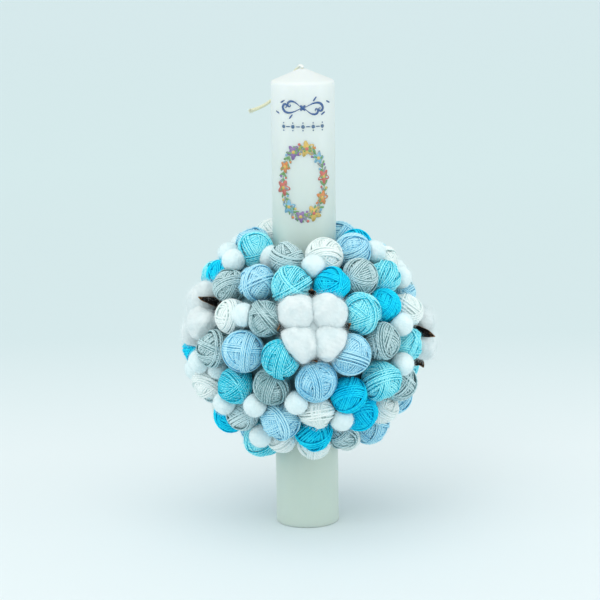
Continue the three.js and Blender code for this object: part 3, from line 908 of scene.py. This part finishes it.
def cotton_husk(side, seed):
    """The dry husk: a calyx on its stem, and four woody pointed bracts."""
    rng = np.random.default_rng(seed)
    origin, axes = boll_frame(side)
    parts = Parts()
    for degrees in BRACT_PLACES:
        rings, uv, pale = bract(side, degrees, rng)
        points = origin + rings.reshape(-1, 3) @ axes
        parts.add(points, *skin(*pale.shape), uv=uv, shade=pale.ravel())
    foot = -BOLLS[side].stem / BOLLS[side].size
    profile = [(0.4, foot), (8.8, foot), (8.6, foot / 2), (9.2, 0.6), (8.4, 2.9), (5.0, 4.0), (0.4, 4.0)]
    points, quads, tris = lathe(profile, 40)
    parts.add(origin + points @ axes, quads, tris)
    parts.piece("husk_" + side, HUSK, "cotton_husk_" + side, "husk")


# The pillar

FOOT_BEVEL = [(1.4, 0), (0.8, 0.15), (0.25, 0.6), (0, 1.3)]
SHOULDER_ROUND, SHOULDER_SINK = 3.0, 2.8
# The cone's blunt end and the dimple round the wick, as radii and depths under the pillar's top
CONE_END = [(3.7, 0.25), (2.7, 0), (2.1, 0), (1.7, 0.5), (0.2, 0.6)]


def candle():
    """The moulded pillar: bevelled foot, straight wall, rounded shoulder and low cone with a dimple."""
    shoulder = CANDLE_HEIGHT - CONE_HEIGHT
    profile = [(0.2, 0)] + [(CANDLE_RADIUS - inset, z) for inset, z in FOOT_BEVEL]
    profile += [(CANDLE_RADIUS, z) for z in np.linspace(4, shoulder - 3, 60)]
    slope = math.atan2(CONE_HEIGHT, CANDLE_RADIUS - CONE_TIP_RADIUS)
    for i in range(7):
        a = i / 6 * (math.pi / 2 - slope)
        inset, rise = SHOULDER_ROUND * (1 - math.cos(a)), SHOULDER_ROUND * math.sin(a)
        profile.append((CANDLE_RADIUS - inset, shoulder - SHOULDER_SINK + rise))
    r0, z0 = profile[-1]
    r1, z1 = CONE_TIP_RADIUS, CANDLE_HEIGHT - 0.7
    profile += [(r0 + (r1 - r0) * t, z0 + (z1 - z0) * t) for t in (0.25, 0.5, 0.75, 1)]
    profile += [(r, CANDLE_HEIGHT - depth) for r, depth in CONE_END]
    points, quads, tris = lathe(profile, 144)
    # A cast surface isn't quite true.
    a = np.arctan2(points[:, 1], points[:, 0])
    r = np.hypot(points[:, 0], points[:, 1])
    ease = 0.06 * np.sin(a * 3 + points[:, 2] * 0.02) + 0.05 * np.sin(a * 5 - points[:, 2] * 0.045)
    points[:, :2] *= (1 - np.abs(ease) / np.maximum(r, 5))[:, None]
    parts = Parts()
    parts.add(points, quads, tris)
    parts.piece("wax_pillar", wax_look(), "candle_body", "wax")


# The ornament on the pillar, drawn flat as (across, up)

INKS = {
    "navy": (0.0, 0.075, 0.27), "slate": (0.04, 0.13, 0.26), "coral": (0.58, 0.12, 0.09),
    "orange": (0.66, 0.23, 0.05), "yellow": (0.66, 0.45, 0.09), "green": (0.12, 0.32, 0.10),
    "purple": (0.24, 0.13, 0.38), "gray": (0.24, 0.28, 0.29), "sky": (0.18, 0.44, 0.62),
}
SCROLL_HEIGHT = 369.0
DOTS_HEIGHT = 353
WREATH_HEIGHT = 305.0
WREATH_WIDE, WREATH_TALL = 19.0, 29.5
LEAVES = 34
BLOOMS = ("coral", "sky", "yellow", "purple", "orange", "coral", "sky", "purple", "yellow", "orange")
# How deep the ink reaches into the wax, and how far it stands up
INK_DEPTH = -0.3
INK_LIFT = 0.08


def on_wax(flat, lift):
    """Flat places wrapped onto the front of the pillar."""
    a = flat[:, 0] / CANDLE_RADIUS
    r = CANDLE_RADIUS + lift
    return np.stack([r * np.sin(a), -r * np.cos(a), flat[:, 1]], -1)


def patch(parts, center, size, turn=0.0, petals=0, point=0.0, lift=INK_LIFT):
    """A flat printed oval, pointed at both ends for a leaf, or scalloped into petals."""
    a = np.linspace(0, TURN, 36, endpoint=False)
    grow = 1 + 0.3 * np.cos(petals * a) if petals else 1 - point * np.abs(np.sin(a)) ** 0.7
    outline = np.stack([np.cos(a) * size[0] * (grow if petals else 1), np.sin(a) * size[1] * grow], -1)
    c, s = math.cos(turn), math.sin(turn)
    outline = outline @ np.array([[c, s], [-s, c]]) + center
    n = len(outline)
    middle = np.array([center], float)
    shells = [on_wax(flat, height) for height in (lift, INK_DEPTH) for flat in (outline, middle)]
    i = np.arange(n)
    j = (i + 1) % n
    top = np.stack([i, j, np.full(n, n)], -1)
    low = np.stack([j + n + 1, i + n + 1, np.full(n, 2 * n + 1)], -1)
    wall = np.stack([j, i, i + n + 1, j + n + 1], -1)
    parts.add(np.concatenate(shells), wall, np.concatenate([top, low]))


def stroke(parts, path, width, lift=INK_LIFT):
    """A printed line along a flat path, swelling and thinning as a pen's does."""
    path = np.asarray(path, float)
    tangent = unit(np.gradient(path, axis=0))
    side = np.stack([-tangent[:, 1], tangent[:, 0]], -1) * (np.asarray(width) / 2)[:, None]
    left, right = path + side, path - side
    edges = [on_wax(left, lift), on_wax(right, lift), on_wax(right, INK_DEPTH), on_wax(left, INK_DEPTH)]
    parts.add(np.stack(edges, 1).reshape(-1, 3), *skin(len(path), 4))


def curl(start, heading, length, turns, steps=60):
    """A flat path that sets out straight and winds up tighter and tighter."""
    t = np.linspace(0, 1, steps)
    angle = heading + TURN * turns * t**2.2
    step = length / steps * (1 - 0.72 * t)
    return np.asarray(start) + np.cumsum(np.stack([np.cos(angle), np.sin(angle)], -1) * step[:, None], 0)


def scroll(inks):
    """Two mirrored pairs of curls, with small leaves."""
    pen = 0.5 + 1.7 * np.sin(math.pi * np.linspace(0, 1, 60)) ** 1.5
    middle = np.array([0.0, SCROLL_HEIGHT])
    for way in (-1, 1):
        for heading, length, turns, scale in ((0.5, 46, -1.25, 1.0), (-0.8, 33, 1.15, 0.85)):
            path = curl((1.2, 0.0), heading, length, turns)
            stroke(inks["navy"], middle + path * way, pen * scale)
        for x, z, turn in ((18.5, -5.2, 0.5), (24.6, 4.2, -0.4), (10.5, 7.4, 0.9)):
            patch(inks["navy"], middle + np.array([x, z]) * way, (2.4, 1.2), turn, point=0.45)
    patch(inks["navy"], middle, (2.4, 2.4), 0.785, petals=4)


def dots(inks):
    """A row of dots, each with a small one over and under it, and dashes between them."""
    for i in range(-4, 5):
        if i % 2:
            patch(inks["slate"], (i * 4.4, DOTS_HEIGHT), (2.0, 0.8), point=0.4)
            continue
        for rise, size in ((0, 1.6), (3.2, 0.6), (-3.2, 0.6)):
            patch(inks["slate"], (i * 4.4, DOTS_HEIGHT + rise), (size, size))


def on_wreath(a, out=1.0):
    return np.array([out * WREATH_WIDE * math.cos(a), WREATH_HEIGHT + out * WREATH_TALL * math.sin(a)])


def wreath(inks, rng):
    """An oval ring with pairs of leaves, flowers, and berries between them."""
    ring = np.array([on_wreath(a) for a in np.linspace(0, TURN, 121)])
    stroke(inks["green"], ring, np.full(121, 0.5), 0.05)
    for i in range(LEAVES):
        a = TURN * (i + 0.5) / LEAVES
        along = math.atan2(WREATH_TALL * math.cos(a), -WREATH_WIDE * math.sin(a))
        for way in (-1, 1):
            turn = along + way * rng.uniform(0.55, 0.95)
            root = on_wreath(a) + [2.4 * math.cos(turn), 2.4 * math.sin(turn)]
            patch(inks["green" if (i + way) % 3 else "gray"], root, (3.3, 1.7), turn, point=0.4, lift=0.07)
    count = len(BLOOMS)
    for i, ink in enumerate(BLOOMS):
        a = TURN * (i + 0.25) / count
        size = (5.0, 4.2, 5.6)[i % 3]
        patch(inks[ink], on_wreath(a), (size, size), rng.uniform(0, 1.2), petals=5, lift=0.11)
        patch(inks["yellow" if ink != "yellow" else "coral"], on_wreath(a), (1.5, 1.5), lift=0.14)
        b = a + math.pi / count
        patch(inks[BLOOMS[(i + 3) % count]], on_wreath(b, 1.13), (1.2, 1.2), lift=0.1)
        patch(inks[BLOOMS[(i + 6) % count]], on_wreath(b, 0.85), (1.0, 1.0), lift=0.1)


def candle_print():
    inks = {ink: Parts() for ink in INKS}
    scroll(inks)
    dots(inks)
    wreath(inks, np.random.default_rng(12))
    for ink, parts in inks.items():
        parts.piece("print_" + ink, ink_look(ink), "candle_body", "wax")


# The wick

BRAID_PITCH = 6.2
FRAY_COUNT = 60
FLUFF_COUNT = 160


def wick():
    """The free end of the wick: a flat three-strand braid with a waxed nub and a frayed cut end."""
    line = smooth_route([(x, y, z + CANDLE_HEIGHT + SEAT_GAP) for x, y, z in WICK_ROUTE], 160)
    at = lengths_along(line)
    end = at[-1]
    tangent = unit(np.gradient(line, axis=0))
    side = unit(np.cross(tangent, np.array([0.0, 0.35, 1.0])))
    rise = np.cross(side, tangent)
    parts = Parts()
    rng = np.random.default_rng(5)
    slim = np.interp(at, [0, 6, 9, 18], [0.9, 0.75, 0.55, 1.0])
    waxed = np.repeat(np.interp(at, [0, 5, 11], [1.0, 0.8, 0.0]), 8)
    spread = slim * np.interp(at, [end - 12, end - 2], [1.0, 1.3])
    thick = np.interp(at, [0, 6, 9, 16, end - 12, end - 3, end], [0.95, 0.9, 0.62, 0.92, 0.98, 1.15, 1.0])
    ends = []
    for strand in range(3):
        phase = TURN * (at / BRAID_PITCH + strand / 3)
        across, up = 0.92 * spread * np.sin(phase), 0.45 * spread * np.sin(2 * phase)
        offset = side * across[:, None] + rise * up[:, None]
        parts.add(*tube(line + offset, rise, thick, 8), shade=waxed)
        ends.append((line + offset)[-1])
    parts.add(*tube(line, rise, 1.15 * slim, 8), shade=waxed)
    n = 3 * FRAY_COUNT
    roots = np.repeat(np.array(ends), FRAY_COUNT, axis=0) + rng.normal(size=(n, 3)) * 0.45 - tangent[-1] * 1.8
    out = unit(tangent[-1] + rng.normal(size=(n, 3)) * 0.22)
    # The frayed fibres are painted paler than the braid, a painted light against the shade they cast on each
    # other.
    fibres(parts, roots, out, rng, (2.0, 4.1), 0.18, (0.8, 1.0), 0.25, steps=3, shade=0.4)
    where = rng.integers(4, len(line) - 4, FLUFF_COUNT)
    sideways, upward = rng.normal(size=(FLUFF_COUNT, 1)), rng.normal(size=(FLUFF_COUNT, 1))
    out = unit(side[where] * sideways + rise[where] * upward)
    fibres(parts, line[where] + out * 1.1, out, rng, (0.6, 1.4), 0.04, (0.2, 0.6), 0.5)
    obj = parts.piece("wick_end", WICK, "wick_free_end", "wick")


# Camera, floor and light

MIDDLE = (0, 0, 0.2)
DAYLIGHT = (1, 1, 0.97)
# Each lamp's place, size, power and colour
LAMPS = {
    "key": ((-0.7, -1.6, 1.7), 1.1, 5, DAYLIGHT),
    "fill": ((1.2, -1.5, 1.0), 1.3, 1, DAYLIGHT),
    "left": ((-1.45, -0.45, 0.45), 0.9, 2.2, (1, 1, 1)),
    "right": ((1.45, -0.5, 0.45), 0.9, 3.2, (1, 1, 1)),
}


def add_camera():
    data = bpy.data.cameras.new("camera")
    data.lens = CAMERA_LENS
    data.sensor_width = 36.0
    data.sensor_fit = "HORIZONTAL"
    data.shift_x = CAMERA_SHIFT
    data.clip_end = 100
    camera = add_object("camera", data)
    pitch = Matrix.Rotation(math.radians(90 - CAMERA_DOWN), 4, "X")
    roll = Matrix.Rotation(math.radians(CAMERA_ROLL), 4, "Z")
    camera.matrix_world = Matrix.Translation(CAMERA_PLACE) @ pitch @ roll
    bpy.context.scene.camera = camera


def add_floor():
    mesh = bpy.data.meshes.new("floor")
    mesh.from_pydata([(-30, -12, 0), (30, -12, 0), (30, 48, 0), (-30, 48, 0)], [], [(0, 1, 2, 3)])
    mesh.materials.append(floor_look().material)
    add_object("floor", mesh)


def add_lamp(name, kind, place, aim, power, color):
    data = bpy.data.lights.new(name, kind)
    data.energy = power
    data.color = color
    lamp = add_object(name, data)
    lamp.location = place
    lamp.rotation_euler = (Vector(aim) - Vector(place)).to_track_quat("-Z", "Y").to_euler()
    return data


def add_light():
    world = bpy.data.worlds.new("studio")
    bpy.context.scene.world = world
    world.use_nodes = True
    background = world.node_tree.nodes["Background"].inputs
    background["Color"].default_value = (0.94, 0.99, 0.98, 1)
    background["Strength"].default_value = 0.79
    for name, (place, size, power, color) in LAMPS.items():
        data = add_lamp(name, "AREA", place, MIDDLE, power, color)
        data.shape = "DISK"
        data.size = size
    sky = add_lamp("sky", "SUN", (-0.1, -0.45, 1.0), (0, 0, 0), 0.8, DAYLIGHT)
    sky.angle = math.radians(70)


def recolour(node, look):
    """Gives a solid of the frame, which keeps its own shape, its material."""
    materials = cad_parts[node].data.materials
    materials.clear()
    materials.append(look.material)


add_camera()
wick()
candle()
candle_print()
for number, ball in enumerate(balls):
    if ball["color"] in YARN:
        yarn_ball(f"yarn_ball_{number:03d}", ball, 100 + number)
    else:
        pompom(f"pompom_{number:03d}", ball, 100 + number)
for number, side in enumerate(BOLLS):
    cotton_lint(side, 40 + number)
    cotton_husk(side, 60 + number)
recolour("foam_core", foam_shade_look())
recolour("wick_in_wax", WICK)
add_floor()
add_light()
bpy.context.scene.view_settings.view_transform = "Standard"
